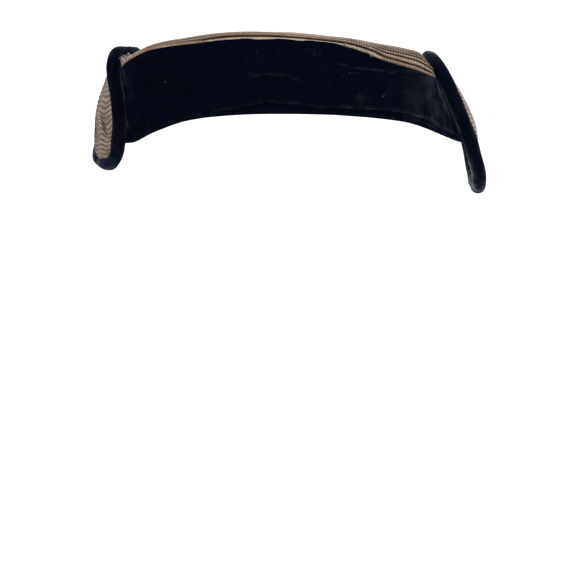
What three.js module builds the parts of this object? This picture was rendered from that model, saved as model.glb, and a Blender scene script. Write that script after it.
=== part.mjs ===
// A 1950s cocktail half hat, in millimetres: a shallow oval crown covered in velvet, whose
// side wall is the broad band over the face, a top draped in tucked taupe silk, and two
// side wings, each a silk cover and a velvet facing inside a padded velvet roll.
//
// Frame of the part: +Z up, the hat's face towards -Y, +X to the right of someone who
// looks at its face. The origin is where the head touches the underside of the crown.
// Left and right are the viewer's.

import * as THREE from "three";

const { Vector3 } = THREE;
const { clamp, lerp } = THREE.MathUtils;

// Driving dimensions, in millimetres.
const CROWN_WALL = 2.6; // stiffened shape with its velvet
const DRAPE_WALL = 2.2; // folded silk on the crown
const COVER_WALL = 1.4; // tucked silk at the edge of a wing
const FACING_WALL = 1.2; // velvet on the inside of a wing
const ROLL_RADIUS = 3.8; // padded velvet roll round each wing
const GAP = 0.35; // between neighbouring pieces
const SEAT_GAP = 0.7; // between the silk and the crown under it
const EDGE_SINK = 1.6; // more room under the silk where it is sewn down round its edge
const SINK_POWER = 8; // how near the edge that room starts
const PANEL_GAP = 0.6; // between the two sides of a wing
const ROLL_GAP = 0.7; // between a wing's panel and its roll
const LIP = { width: 1.6, height: 0.5 }; // velvet fold that holds the silk's edge

// Half sizes of the crown's top edge and of the rim, seen from above.
const TOP = { left: 88.0, right: 80.8, front: 57, back: 55 };
const RIM = { left: 94, right: 98.5, front: 61, back: 58 };
// How square each corner is: 2 is an ellipse, and more is squarer.
const TOP_CORNER = { frontLeft: 6, frontRight: 5.5, back: 3.6 };
const RIM_CORNER = { frontLeft: 2.4, frontRight: 3.1, back: 2.6 };
const WALL_ROUND = 1.5; // the wall slopes most below the top edge, and is upright at the rim

// Heights across the hat: the crown's ridge, the top edge and the rim at the front,
// and the same two at the back. The finished hat is raised a little, to put the origin
// at the underside of its crown.
const ACROSS = [
  { x: -99, ridge: -21, edge: -21, rim: -57, backEdge: -21, backRim: -54 },
  { x: -88, ridge: -15.8, edge: -15.6, rim: -57, backEdge: -16.2, backRim: -53 },
  { x: -84, ridge: -12.4, edge: -13.6, rim: -56.4, backEdge: -14, backRim: -52 },
  { x: -80, ridge: -7.4, edge: -11.6, rim: -55.4, backEdge: -11.8, backRim: -51 },
  { x: -69, ridge: -2.8, edge: -7.0, rim: -49.5, backEdge: -8, backRim: -46.5 },
  { x: -50, ridge: 1.6, edge: -3.3, rim: -42.2, backEdge: -3.6, backRim: -40 },
  { x: -25, ridge: 4.3, edge: 0.1, rim: -38.2, backEdge: -0.4, backRim: -36.8 },
  { x: 0, ridge: 4.6, edge: 0.8, rim: -36.6, backEdge: 0, backRim: -35.8 },
  { x: 25, ridge: 2.7, edge: -1.4, rim: -36.1, backEdge: -1.4, backRim: -35.6 },
  { x: 50, ridge: -0.3, edge: -8.5, rim: -37.0, backEdge: -5.6, backRim: -36.4 },
  { x: 65, ridge: -2.4, edge: -12.8, rim: -38.5, backEdge: -9.6, backRim: -38 },
  { x: 72.4, ridge: -4.7, edge: -14.3, rim: -40.2, backEdge: -12.2, backRim: -39.6 },
  { x: 77, ridge: -11.4, edge: -15.3, rim: -41.7, backEdge: -14.6, backRim: -41 },
  { x: 81.5, ridge: -16.8, edge: -16, rim: -43.4, backEdge: -16.8, backRim: -43 },
  { x: 101, ridge: -24, edge: -20, rim: -51.5, backEdge: -24, backRim: -51 },
];
const RIDGE_FLATNESS = 4; // power of the fall from the ridge to the front and back edges

// Where the silk on the crown ends at each side, from the front to the back: it runs out
// to the crown's corners, and stops short of the rolls between them.
const SILK_ENDS = [
  { y: -52, left: -85.4, right: 78.7 },
  { y: -42, left: -85.4, right: 78 },
  { y: -32, left: -84.2, right: 74.6 },
  { y: -22, left: -80.3, right: 72.2 },
  { y: 20, left: -80, right: 72 },
  { y: 34, left: -81, right: 74 },
  { y: 48, left: -82, right: 75 },
];
const FOLD_PITCH = 5.2;
const FOLD_HEIGHT = 1.0;
const FOLD_RISE = 0.82; // share of a fold's width over which it slopes
const FOLD_SLANT = 0.09; // the folds slant towards the face on the right

// Sections of each wing from its lowest row to its highest. Each row runs from the
// front edge (F) over the middle (M) to the back edge (B), along the roll's centre.
const LEFT_WING = [
  { q: -1.0, yF: -20, yB: 6, xF: -95, xM: -101, xB: -104.4, zF: -69.7, zM: -70.8, zB: -68.8 },
  { q: -0.75, yF: -31, yB: 21, xF: -90.4, xM: -102.8, xB: -106.6, zF: -64, zM: -65, zB: -64.4 },
  { q: -0.4, yF: -37, yB: 33, xF: -88.1, xM: -103.4, xB: -104.5, zF: -52, zM: -52.5, zB: -52.5 },
  { q: 0.0, yF: -38.5, yB: 36, xF: -88.2, xM: -102.6, xB: -100, zF: -38, zM: -38.5, zB: -38.5 },
  { q: 0.4, yF: -38, yB: 35, xF: -90.2, xM: -98.2, xB: -95, zF: -25, zM: -25.5, zB: -25.5 },
  { q: 0.7, yF: -36, yB: 31, xF: -91.6, xM: -94.2, xB: -91.5, zF: -17, zM: -17.5, zB: -18 },
  { q: 0.88, yF: -32, yB: 25, xF: -90.4, xM: -91, xB: -90.2, zF: -11.6, zM: -12, zB: -12.6 },
  { q: 1.0, yF: -22, yB: 15, xF: -86.3, xM: -86.3, xB: -86.3, zF: -8.9, zM: -9.3, zB: -9.8 },
];
const RIGHT_WING = [
  { q: -1.0, yF: -18, yB: 8, xF: 106.8, xM: 106.6, xB: 106.2, zF: -74.6, zM: -75.6, zB: -74.4 },
  { q: -0.75, yF: -30, yB: 22, xF: 106.3, xM: 106.4, xB: 105.4, zF: -68, zM: -69, zB: -68.4 },
  { q: -0.4, yF: -37, yB: 33, xF: 102.2, xM: 104.2, xB: 103, zF: -55, zM: -56, zB: -56 },
  { q: 0.0, yF: -38.5, yB: 36, xF: 96.8, xM: 100.9, xB: 99.5, zF: -41, zM: -42, zB: -42 },
  { q: 0.4, yF: -38, yB: 35, xF: 90.6, xM: 95, xB: 93.4, zF: -27, zM: -27.5, zB: -27.5 },
  { q: 0.7, yF: -35.5, yB: 31, xF: 84.4, xM: 87.6, xB: 87, zF: -15.4, zM: -16, zB: -17 },
  { q: 0.88, yF: -30, yB: 26, xF: 80.4, xM: 81.8, xB: 81.5, zF: -9.4, zM: -10, zB: -11.5 },
  { q: 1.0, yF: -20, yB: 16, xF: 77.6, xM: 77.8, xB: 78, zF: -7, zM: -7.5, zB: -8 },
];
const WING_MIDDLE = 3; // the row at the middle of a wing
// How much thicker each wing's silk is at its middle, where it is padded.
const WING_PAD = { left: 1.6, right: 0.6 };

// Mesh fineness.
const AROUND = 48;
const TOP_RINGS = [0.3, 0.55, 0.74, 0.85, 0.92, 0.965, 1];
const LIP_ROWS = 2;
const WALL_ROWS = 5;
const WALL_START = 0.16; // where the crown's inner wall leaves its inner top
const DRAPE_COLUMNS = 16;
const END_CROWDING = 0.8; // how much the drape's columns crowd towards its ends
const WING_RINGS = 4;
const ROLL_STEPS = 42;
const ROLL_SIDES = 8;

const VELVET = { color: 0x0a0e17, roughness: 0.95, metalness: 0 };
const SILK = { color: 0x94806f, roughness: 0.75, metalness: 0 };

const shares = (count) => Array.from({ length: count + 1 }, (_, i) => i / count);
const angles = Array.from({ length: AROUND }, (_, i) => (i / AROUND) * 2 * Math.PI);

// The value of one column at a place along a table, by a smooth curve through its rows.
function along(rows, key, column, at) {
  const last = rows.length - 1;
  const slope = (k) => {
    const before = rows[Math.max(k - 1, 0)];
    const after = rows[Math.min(k + 1, last)];
    return (after[column] - before[column]) / (after[key] - before[key]);
  };
  let i = 0;
  while (i < last - 1 && rows[i + 1][key] < at) i++;
  const span = rows[i + 1][key] - rows[i][key];
  const t = clamp((at - rows[i][key]) / span, 0, 1);
  const [t2, t3] = [t ** 2, t ** 3];
  const start = (2 * t3 - 3 * t2 + 1) * rows[i][column] + (t3 - 2 * t2 + t) * span * slope(i);
  const end = (3 * t2 - 2 * t3) * rows[i + 1][column] + (t3 - t2) * span * slope(i + 1);
  return start + end;
}

// A point of an oval whose quarters have their own half sizes and corner squareness.
function ovalPoint(size, corner, angle) {
  const [c, s] = [Math.cos(angle), Math.sin(angle)];
  const power = s > 0 ? corner.back : c < 0 ? corner.frontLeft : corner.frontRight;
  const reach = (Math.abs(c) ** power + Math.abs(s) ** power) ** (-1 / power);
  const x = c * reach * (c < 0 ? size.left : size.right);
  const y = s * reach * (s < 0 ? size.front : size.back);
  return new Vector3(x, y, 0);
}

// A point moved towards the middle of the hat, seen from above.
function inward(p, by) {
  const keep = 1 - by / Math.hypot(p.x, p.y);
  return new Vector3(p.x * keep, p.y * keep, p.z);
}

// How far an oval inside the top edge lies in front of or behind the middle at x.
function edgeReach(x, atBack, inset) {
  const share = Math.min(Math.abs(x) / ((x < 0 ? TOP.left : TOP.right) - inset), 1);
  const power = atBack ? TOP_CORNER.back : x < 0 ? TOP_CORNER.frontLeft : TOP_CORNER.frontRight;
  return (1 - share ** power) ** (1 / power) * ((atBack ? TOP.back : TOP.front) - inset);
}

// Height of the silk on the crown: flat along the ridge, then falling to the edges.
function crownHeight(x, y) {
  const ridge = along(ACROSS, "x", "ridge", x);
  const edge = along(ACROSS, "x", y > 0 ? "backEdge" : "edge", x);
  const share = Math.min(Math.abs(y) / Math.max(edgeReach(x, y > 0, 0), 1), 1);
  return lerp(ridge, edge, share ** RIDGE_FLATNESS);
}

// A point of the side wall: down is 0 at the top edge and 1 at the rim.
function wallPoint(angle, down) {
  const top = ovalPoint(TOP, TOP_CORNER, angle);
  const rim = ovalPoint(RIM, RIM_CORNER, angle);
  const atBack = top.y > 0;
  top.z = along(ACROSS, "x", atBack ? "backEdge" : "edge", top.x);
  rim.z = along(ACROSS, "x", atBack ? "backRim" : "rim", rim.x);
  const out = 1 - (1 - down) ** WALL_ROUND;
  const p = top.clone().lerp(rim, out);
  return p.setZ(lerp(top.z, rim.z, down));
}

// A geometry from points and faces, turned so that its faces point out.
function closedGeometry(points, faces) {
  const corner = (k) => points[faces[k]];
  let volume = 0;
  for (let k = 0; k < faces.length; k += 3)
    volume += corner(k).dot(corner(k + 1).clone().cross(corner(k + 2)));
  const geometry = new THREE.BufferGeometry().setFromPoints(points);
  geometry.setIndex(volume > 0 ? faces : faces.reverse());
  geometry.computeVertexNormals();
  return geometry;
}

// A closed body between two grids of the same size. A ring's rows close on themselves,
// and its first row shrinks to a pole where the two poles are given.
function between(outer, inner, ring, poles) {
  const points = [];
  const faces = [];
  const put = (p) => points.push(p) - 1;
  const quad = (a, b, c, d) => faces.push(a, b, c, a, c, d);
  const [out, inn] = [outer, inner].map((grid) => grid.map((row) => row.map(put)));
  const count = outer[0].length;
  const spans = ring ? count : count - 1;
  const last = outer.length - 1;
  for (let i = 0; i < spans; i++) {
    const k = (i + 1) % count;
    for (let j = 0; j < last; j++) {
      quad(out[j][i], out[j][k], out[j + 1][k], out[j + 1][i]);
      quad(inn[j][k], inn[j][i], inn[j + 1][i], inn[j + 1][k]);
    }
    quad(out[last][i], out[last][k], inn[last][k], inn[last][i]);
    if (!poles) quad(out[0][k], out[0][i], inn[0][i], inn[0][k]);
  }
  if (poles) {
    const [top, bottom] = poles.map(put);
    for (let i = 0; i < spans; i++) {
      const k = (i + 1) % count;
      faces.push(top, out[0][k], out[0][i], bottom, inn[0][i], inn[0][k]);
    }
  }
  for (let j = 0; j < last && !ring; j++) {
    quad(out[j][0], out[j + 1][0], inn[j + 1][0], inn[j][0]);
    quad(out[j + 1][spans], out[j][spans], inn[j][spans], inn[j + 1][spans]);
  }
  return closedGeometry(points, faces);
}

function piece(name, geometry, look) {
  const mesh = new THREE.Mesh(geometry, new THREE.MeshStandardMaterial(look));
  mesh.name = name;
  return mesh;
}

// The crown: one shell, open below. Its top lies under the silk, a lip rises round the
// silk's edge, and the wall falls from the lip to the rim.
function crown() {
  const under = DRAPE_WALL + SEAT_GAP;
  const topRows = (drop, inset) =>
    TOP_RINGS.map((share) =>
      angles.map((angle) => {
        const p = inward(ovalPoint(TOP, TOP_CORNER, angle), inset).multiplyScalar(share);
        return p.setZ(crownHeight(p.x, p.y) - drop - EDGE_SINK * share ** SINK_POWER);
      }),
    );
  const lipRows = shares(LIP_ROWS).map((share) =>
    angles.map((angle) => {
      const p = inward(wallPoint(angle, 0), LIP.width * (1 - share));
      return p.setZ(p.z + (share < 1 ? LIP.height : 0));
    }),
  );
  const wallRows = (downs, inset) =>
    downs.map((down) => angles.map((angle) => inward(wallPoint(angle, down), inset)));
  const outerDowns = shares(WALL_ROWS).slice(1);
  const innerDowns = shares(LIP_ROWS + WALL_ROWS).map((share) => lerp(WALL_START, 1, share));
  const outer = [...topRows(under, LIP.width), ...lipRows, ...wallRows(outerDowns, 0)];
  const inner = [
    ...topRows(under + CROWN_WALL, LIP.width + CROWN_WALL),
    ...wallRows(innerDowns, CROWN_WALL),
  ];
  const poles = [under, under + CROWN_WALL].map((drop) => new Vector3(0, 0, crownHeight(0, 0) - drop));
  return piece("crown", between(outer, inner, true, poles), VELVET);
}

// The silk on the crown: folds laid over each other like shingles, each with its high
// edge towards the face.
function crownDrape() {
  const edgeRoom = LIP.width + GAP;
  const count = Math.round((TOP.front + TOP.back) / FOLD_PITCH);
  const rows = [];
  for (let k = 0; k < count; k++)
    rows.push({ share: k / count, low: 0 }, { share: (k + FOLD_RISE) / count, low: 1 });
  rows.push({ share: 1, low: 0 });
  const grid = (depth) =>
    rows.map(({ share, low }) =>
      shares(DRAPE_COLUMNS).map((across) => {
        const level = lerp(-TOP.front, TOP.back, share);
        const left = along(SILK_ENDS, "y", "left", level);
        const right = along(SILK_ENDS, "y", "right", level);
        const crowded = (1 - Math.cos(across * Math.PI)) / 2;
        const x = lerp(left, right, lerp(across, crowded, END_CROWDING));
        const front = -edgeReach(x, false, edgeRoom);
        const back = edgeReach(x, true, edgeRoom);
        const y = lerp(front, back, share) - FOLD_SLANT * x * Math.sin(share * Math.PI);
        return new Vector3(x, y, crownHeight(x, y) - depth(low));
      }),
    );
  const top = grid((low) => low * FOLD_HEIGHT);
  const bottom = grid(() => DRAPE_WALL);
  return piece("crown_drape", between(top, bottom, false), SILK);
}

// The closed line of a wing's roll: up the front edge and down the back edge.
function rollPath(table) {
  const front = table.map((row) => new Vector3(row.xF, row.yF, row.zF));
  const back = table.map((row) => new Vector3(row.xB, row.yB, row.zB)).reverse();
  return new THREE.CatmullRomCurve3([...front, ...back], true, "centripetal");
}

// How far out a wing's middle surface lies at a place seen from the side. Each row of
// the table bends as a parabola from its front edge to its back edge.
function wingReach(table, y, z) {
  const q = along(table, "zM", "q", z);
  const [front, middle, back] = ["xF", "xM", "xB"].map((column) => along(table, "q", column, q));
  const [yF, yB] = ["yF", "yB"].map((column) => along(table, "q", column, q));
  const across = clamp((2 * y - yF - yB) / (yB - yF), -1, 1);
  return middle + ((back - front) / 2) * across + ((back + front) / 2 - middle) * across ** 2;
}

// Rings of points on a wing, from its middle to the inner side of its roll. They lie a
// given distance outside the middle surface, and further at the middle by the pad.
function wingRings(table, side, out, pad) {
  const { yF, yB, zM } = table[WING_MIDDLE];
  const middle = { y: (yF + yB) / 2, z: zM };
  const place = (edge, share) => {
    const [dy, dz] = [edge.y - middle.y, edge.z - middle.z];
    const keep = share * (1 - (ROLL_RADIUS + ROLL_GAP) / Math.hypot(dy, dz));
    const [y, z] = [middle.y + dy * keep, middle.z + dz * keep];
    const reach = wingReach(table, y, z) + side * (out + pad * (1 - share ** 2));
    return new Vector3(reach, y, z);
  };
  const edges = rollPath(table).getPoints(ROLL_STEPS).slice(0, -1);
  const rings = shares(WING_RINGS)
    .slice(1)
    .map((share) => edges.map((edge) => place(edge, share)));
  return { rings, pole: place(edges[0], 0) };
}

// A wall of a wing between two distances from its middle surface.
function wingWall(table, side, from, to, pad) {
  const inner = wingRings(table, side, from, 0);
  const outer = wingRings(table, side, to, pad);
  return between(outer.rings, inner.rings, true, [outer.pole, inner.pole]);
}

function wing(name, table, side) {
  const half = PANEL_GAP / 2;
  const cover = wingWall(table, side, half, half + COVER_WALL, WING_PAD[name]);
  const facing = wingWall(table, side, -half - FACING_WALL, -half, 0);
  const roll = new THREE.TubeGeometry(rollPath(table), ROLL_STEPS, ROLL_RADIUS, ROLL_SIDES, true);
  return new THREE.Group().add(
    piece(name + "_wing_cover", cover, SILK),
    piece(name + "_wing_facing", facing, VELVET),
    piece(name + "_wing_roll", roll, VELVET),
  );
}

const hat = new THREE.Group().add(
  crown(),
  crownDrape(),
  wing("left", LEFT_WING, -1),
  wing("right", RIGHT_WING, 1),
);
hat.position.z = DRAPE_WALL + SEAT_GAP + CROWN_WALL - crownHeight(0, 0);

export default hat;
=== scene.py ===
"""A 1950s cocktail half hat: a velvet crown with a broad band, a top of tucked silk, and two silk wings,
each inside a padded velvet roll. Shapes are worked out in millimetres and put into meshes in metres."""

import math

import bpy
import numpy as np
from mathutils import Matrix, Vector


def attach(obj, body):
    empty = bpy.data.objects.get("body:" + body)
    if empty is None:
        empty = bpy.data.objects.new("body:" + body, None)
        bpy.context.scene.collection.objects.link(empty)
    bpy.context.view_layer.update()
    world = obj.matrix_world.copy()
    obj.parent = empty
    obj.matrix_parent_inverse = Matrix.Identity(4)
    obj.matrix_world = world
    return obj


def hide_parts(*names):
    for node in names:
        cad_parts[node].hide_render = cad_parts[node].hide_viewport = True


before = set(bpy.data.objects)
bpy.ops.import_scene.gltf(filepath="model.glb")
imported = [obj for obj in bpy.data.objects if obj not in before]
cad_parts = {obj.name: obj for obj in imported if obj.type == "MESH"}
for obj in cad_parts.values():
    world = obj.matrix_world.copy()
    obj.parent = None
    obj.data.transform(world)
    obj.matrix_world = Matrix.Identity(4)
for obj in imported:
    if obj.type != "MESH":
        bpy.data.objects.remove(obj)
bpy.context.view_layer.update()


# Crown
# The real crown is a blocked shape of buckram, an open weave stiffened with size. Velvet is drawn over it,
# turned up round the top edge into a lip that holds the silk, and turned in at the rim. It carries every
# other piece.

MM = 0.001

CROWN_WALL = 2.6  # buckram with velvet on both sides
DRAPE_WALL = 2.2  # folded silk on the crown
SEAT_GAP = 0.7  # between the silk and the crown under it
EDGE_SINK = 1.6  # more room under the silk round its edge
SINK_POWER = 8  # of the way out, by which that room grows
WALL_ROUND = 1.5  # power of the wall's bend

# Half sizes of the crown's top edge and of its rim, seen from above, and how square each corner is.
TOP = {"left": 88.0, "right": 80.8, "front": 57.0, "back": 55.0}
RIM = {"left": 94.0, "right": 98.5, "front": 61.0, "back": 58.0}
TOP_CORNER = {"front_left": 6.0, "front_right": 5.5, "back": 3.6}
RIM_CORNER = {"front_left": 2.4, "front_right": 3.1, "back": 2.6}

# Heights across the hat: the ridge, the top edge and the rim at the front, and the same two at the back.
ACROSS = {
    "x": [-99, -88, -84, -80, -69, -50, -25, 0,
          25, 37, 50, 65, 72.4, 77, 81.5, 101],
    "ridge": [-21, -15.8, -12.8, -9.0, -3.5, 0.8, 4.2, 4.6,
              3.1, 2.3, 0.3, -2.1, -4.4, -11.4, -16.8, -24],
    "edge": [-21, -15.4, -13.3, -11.2, -6.6, -3.1, -0.1, 0.7,
             -0.2, -2.9, -7.3, -11.2, -13.0, -14.6, -16, -20],
    "rim": [-57, -57, -56.4, -55.4, -49.5, -42.2, -38.2, -36.6,
            -36.1, -36.4, -37, -38.5, -40.2, -41.7, -43.4, -51.5],
    "back_edge": [-21, -16.2, -14, -11.8, -8, -3.6, -0.4, 0,
                  -1.4, -3.2, -5.6, -9.6, -12.2, -14.6, -16.8, -24],
    "back_rim": [-54, -53, -52, -51, -46.5, -40, -36.8, -35.8,
                 -35.6, -35.9, -36.4, -38, -39.6, -41, -43, -51],
}
# The front's heights run into the back's over this distance on either side of the middle.
EDGE_BLEND = 12.0
RIM_BLEND = 20.0
# The power by which the silk falls from its ridge to its edge, from one place across the hat to another.
RIDGE_FLATNESS = {"left": 8, "right": 4, "from_x": -50, "to_x": 34}


def along(table, key, column, at):
    """A table's column at any place along its key: a cubic between each pair of rows, whose slope at a row
    is that of the straight line from the row before it to the row after it."""
    keys = np.array(table[key], float)
    values = np.array(table[column], float)
    before = np.maximum(np.arange(len(keys)) - 1, 0)
    after = np.minimum(np.arange(len(keys)) + 1, len(keys) - 1)
    slopes = (values[after] - values[before]) / (keys[after] - keys[before])
    i = np.clip(np.searchsorted(keys, at, side="right") - 1, 0, len(keys) - 2)
    span = keys[i + 1] - keys[i]
    t = np.clip((at - keys[i]) / span, 0, 1)
    start = (2 * t**3 - 3 * t**2 + 1) * values[i] + (t**3 - 2 * t**2 + t) * span * slopes[i]
    end = (3 * t**2 - 2 * t**3) * values[i + 1] + (t**3 - t**2) * span * slopes[i + 1]
    return start + end


def mix(a, b, share):
    """The value that lies at a share of the way from a to b."""
    return a + (b - a) * share


def smooth(low, high, at):
    """0 below low, 1 above high, and three t squared minus two t cubed between them."""
    t = np.clip((at - low) / (high - low), 0, 1)
    return t * t * (3 - 2 * t)


def oval(size, corner, angle):
    """x and y on an oval at an angle: the direction of the angle times the reach at which the powers of its
    cosine and sine add up to 1, stretched by each quarter's own half sizes."""
    c = np.cos(angle)
    s = np.sin(angle)
    power = np.where(s > 0, corner["back"], np.where(c < 0, corner["front_left"], corner["front_right"]))
    reach = (np.abs(c) ** power + np.abs(s) ** power) ** (-1 / power)
    x = c * reach * np.where(c < 0, size["left"], size["right"])
    y = s * reach * np.where(s < 0, size["front"], size["back"])
    return x, y


def edge_reach(x, at_back, inset):
    """How far in front of or behind the middle an oval inside the top edge lies at x: its half depth times
    what a power of x, as a share of the half width, leaves of 1."""
    share = np.minimum(np.abs(x) / (np.where(x < 0, TOP["left"], TOP["right"]) - inset), 1)
    power = np.where(x < 0, TOP_CORNER["front_left"], TOP_CORNER["front_right"])
    power = np.where(at_back, TOP_CORNER["back"], power)
    return (1 - share**power) ** (1 / power) * (np.where(at_back, TOP["back"], TOP["front"]) - inset)


def height_across(front, back, x, y, blend):
    """A height at x, from the front's column into the back's over a blend on either side of the middle."""
    return mix(along(ACROSS, "x", front, x), along(ACROSS, "x", back, x), smooth(-blend, blend, y))


def silk_height(x, y):
    """Height of the silk's crests: from the ridge down to the edge by a power of the distance from it."""
    ridge = along(ACROSS, "x", "ridge", x)
    edge = height_across("edge", "back_edge", x, y, EDGE_BLEND)
    share = np.minimum(np.abs(y) / np.maximum(edge_reach(x, y > 0, 0), 1), 1)
    rightward = smooth(RIDGE_FLATNESS["from_x"], RIDGE_FLATNESS["to_x"], x)
    return mix(ridge, edge, share ** mix(RIDGE_FLATNESS["left"], RIDGE_FLATNESS["right"], rightward))


# The seat under the crown's middle is the origin, so every height is raised by this.
LIFT = DRAPE_WALL + SEAT_GAP + CROWN_WALL - float(silk_height(np.array(0.0), np.array(0.0)))


def wall(angle, down, inset=0.0):
    """A point of the side wall, from 0 at the top edge to 1 at the rim: straight down in height, and
    outwards by 1 less a power of what is left to go. An inset moves it towards the middle of the hat."""
    top_x, top_y = oval(TOP, TOP_CORNER, angle)
    rim_x, rim_y = oval(RIM, RIM_CORNER, angle)
    edge = height_across("edge", "back_edge", top_x, top_y, EDGE_BLEND)
    rim = height_across("rim", "back_rim", rim_x, rim_y, RIM_BLEND)
    out = 1 - np.maximum(1 - down, 0) ** WALL_ROUND
    x = mix(top_x, rim_x, out)
    y = mix(top_y, rim_y, out)
    keep = 1 - inset / np.hypot(x, y)
    return np.stack([x * keep, y * keep, mix(edge, rim, down)], axis=-1)


SLOPE_STEP = 1e-3  # to either side of the place where a surface's slope is taken


def unit(vectors):
    """Vectors divided by their lengths."""
    return vectors / np.maximum(np.linalg.norm(vectors, axis=-1, keepdims=True), 1e-12)


def raised(surface, u, v, height):
    """Points a height above a surface of two parameters, along its normal: the cross product of its slopes
    along u and along v, one unit long."""
    along_u = surface(u + SLOPE_STEP, v) - surface(u - SLOPE_STEP, v)
    along_v = surface(u, v + SLOPE_STEP) - surface(u, v - SLOPE_STEP)
    return surface(u, v) + unit(np.cross(along_u, along_v)) * np.asarray(height)[..., None]


WAVE_COUNT = 4
WAVE_LOWER = 0.62  # height of each wave beside the one before it
WAVE_SHORTER = 0.71  # and its length


def waves(rng, at, height, length):
    """A smooth random curve of about that height up and down: half the sum of four sines of random phase,
    the first one of that length, and each one after it shorter and lower."""
    total = np.zeros_like(np.asarray(at, float))
    for k in range(WAVE_COUNT):
        turns = at * (2 * np.pi / (length * WAVE_SHORTER**k))
        total += WAVE_LOWER**k * np.sin(turns + rng.uniform(0, 2 * np.pi))
    return height * total / 2


def quads(rows, columns, ring):
    """The corners of a grid's faces, as numbers of its points. A ring's last column joins its first."""
    i = np.arange(rows - 1)[:, None]
    j = np.arange(columns if ring else columns - 1)[None, :]
    k = (j + 1) % columns
    corners = [i * columns + j, i * columns + k, (i + 1) * columns + k, (i + 1) * columns + j]
    return np.stack([np.broadcast_to(c, (rows - 1, j.shape[1])) for c in corners], -1).reshape(-1, 4)


def make_piece(name, points, faces, materials, uv=None, tone=None, face_material=None):
    """A smooth closed mesh from points in millimetres and its faces, turned so that they point out, with
    what its materials read: a place on the cloth in millimetres, and a tone, which is mostly painted
    highlight and painted shade."""
    a, b, c, d = (points[faces[:, k]] for k in range(4))
    if (a * np.cross(b, c) + a * np.cross(c, d)).sum() < 0:
        faces = faces[:, ::-1]
    mesh = bpy.data.meshes.new(name)
    mesh.vertices.add(len(points))
    mesh.vertices.foreach_set("co", (points * MM).astype(np.float32).ravel())
    mesh.loops.add(faces.size)
    mesh.loops.foreach_set("vertex_index", faces.astype(np.int32).ravel())
    mesh.polygons.add(len(faces))
    mesh.polygons.foreach_set("loop_start", np.arange(0, faces.size, 4, dtype=np.int32))
    mesh.polygons.foreach_set("use_smooth", np.ones(len(faces), bool))
    if face_material is not None:
        mesh.polygons.foreach_set("material_index", face_material.astype(np.int32))
    mesh.update(calc_edges=True)
    if uv is not None:
        layer = mesh.uv_layers.new(name="cloth")
        layer.data.foreach_set("uv", uv[faces.ravel()].astype(np.float32).ravel())
    if tone is not None:
        shade = mesh.attributes.new("tone", "FLOAT", "POINT")
        shade.data.foreach_set("value", tone.astype(np.float32).ravel())
    for material in materials:
        mesh.materials.append(material)
    made = bpy.data.objects.new(name, mesh)
    bpy.context.scene.collection.objects.link(made)
    return made


def linear(colour):
    """An sRGB colour written as six hex digits, as linear red, green, blue and an alpha of 1."""
    parts = [int(colour[k : k + 2], 16) / 255 for k in (0, 2, 4)]
    return [p / 12.92 if p <= 0.04045 else ((p + 0.055) / 1.055) ** 2.4 for p in parts] + [1.0]


def add(material, kind, inputs=None, **settings):
    """Adds one node with its settings, and sets or links each of its inputs. A node given to an input is
    linked by its first output."""
    tree = material.node_tree
    made = tree.nodes.new("ShaderNode" + kind)
    for name, value in settings.items():
        setattr(made, name, value)
    for name, value in (inputs or {}).items():
        if isinstance(value, bpy.types.Node):
            value = value.outputs[0]
        if isinstance(value, bpy.types.NodeSocket):
            tree.links.new(value, made.inputs[name])
        else:
            made.inputs[name].default_value = value
    return made


def new_material(name):
    """An empty material, to be filled node by node."""
    material = bpy.data.materials.new(name)
    material.use_nodes = True
    material.node_tree.nodes.clear()
    return material


def silk_velvet():
    """Silk velvet: a short upright pile on a woven ground. It swallows light where it is seen along the
    pile, glows grey-blue where the pile leans away, and holds specks of lint. The lean is a sum of three
    noises, each with its own pull, and of the tone broken up by strokes. That tone is painted highlight and
    painted shade, with some random tone on the band."""
    tuft = 0.5 * MM  # a real tuft is 0.1 mm, which is too fine to show
    cloud = 15.0 * MM
    stroke = 4.5 * MM
    lint = 1.1 * MM
    m = new_material("navy silk velvet")
    place = add(m, "TexCoord").outputs["Object"]
    upright = add(m, "Mapping", {"Vector": place, "Scale": (1.0, 1.0, 0.6)})
    clouds = add(m, "TexNoise", {"Vector": place, "Scale": 1 / cloud, "Detail": 3.0, "Roughness": 0.6})
    strokes = add(m, "TexNoise", {"Vector": upright, "Scale": 1 / stroke, "Detail": 4.0, "Distortion": 0.4})
    tufts = add(m, "TexNoise", {"Vector": upright, "Scale": 1 / tuft, "Detail": 2.0, "Roughness": 0.7})
    lean = -0.56
    for noise, pull in ((clouds, 0.55), (strokes, 0.6), (tufts, 0.5)):
        lean = add(m, "Math", {0: noise, 1: pull, 2: lean}, operation="MULTIPLY_ADD")
    # The tone read here is painted highlight and painted shade, with some random tone on the band.
    tone = add(m, "Attribute", attribute_name="tone").outputs["Fac"]
    broken = add(m, "Math", {0: strokes, 1: 2.6, 2: -0.5}, operation="MULTIPLY_ADD")
    broken = add(m, "Math", {0: broken, 1: tone}, operation="MULTIPLY")
    lean = add(m, "Math", {0: broken, 1: 0.8, 2: lean}, operation="MULTIPLY_ADD")
    glow = add(m, "ValToRGB", {"Fac": lean})
    stops = glow.color_ramp.elements
    stops[0].color = linear("080d1a")
    stops[1].color = linear("a2a9b6")
    stops.new(0.3).color = linear("1d2b49")
    stops.new(0.6).color = linear("676a76")
    dust = add(m, "TexNoise", {"Vector": place, "Scale": 1 / lint, "Detail": 1.0, "Distortion": 1.5})
    specks = add(m, "MapRange", {"Value": dust, "From Min": 0.765, "From Max": 0.83})
    ground = add(m, "MixRGB", {"Fac": specks, "Color1": linear("02050d"), "Color2": linear("4d5059")})
    fine = add(m, "Bump", {"Height": tufts, "Distance": 0.2 * MM, "Strength": 0.5})
    surface = add(m, "BsdfPrincipled", {
        "Base Color": ground, "Normal": fine, "Roughness": 0.95, "Specular IOR Level": 0.0,
        "Sheen Weight": 1.0, "Sheen Roughness": 0.42, "Sheen Tint": glow,
    })
    add(m, "OutputMaterial", {"Surface": surface})
    return m


velvet = silk_velvet()


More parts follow.
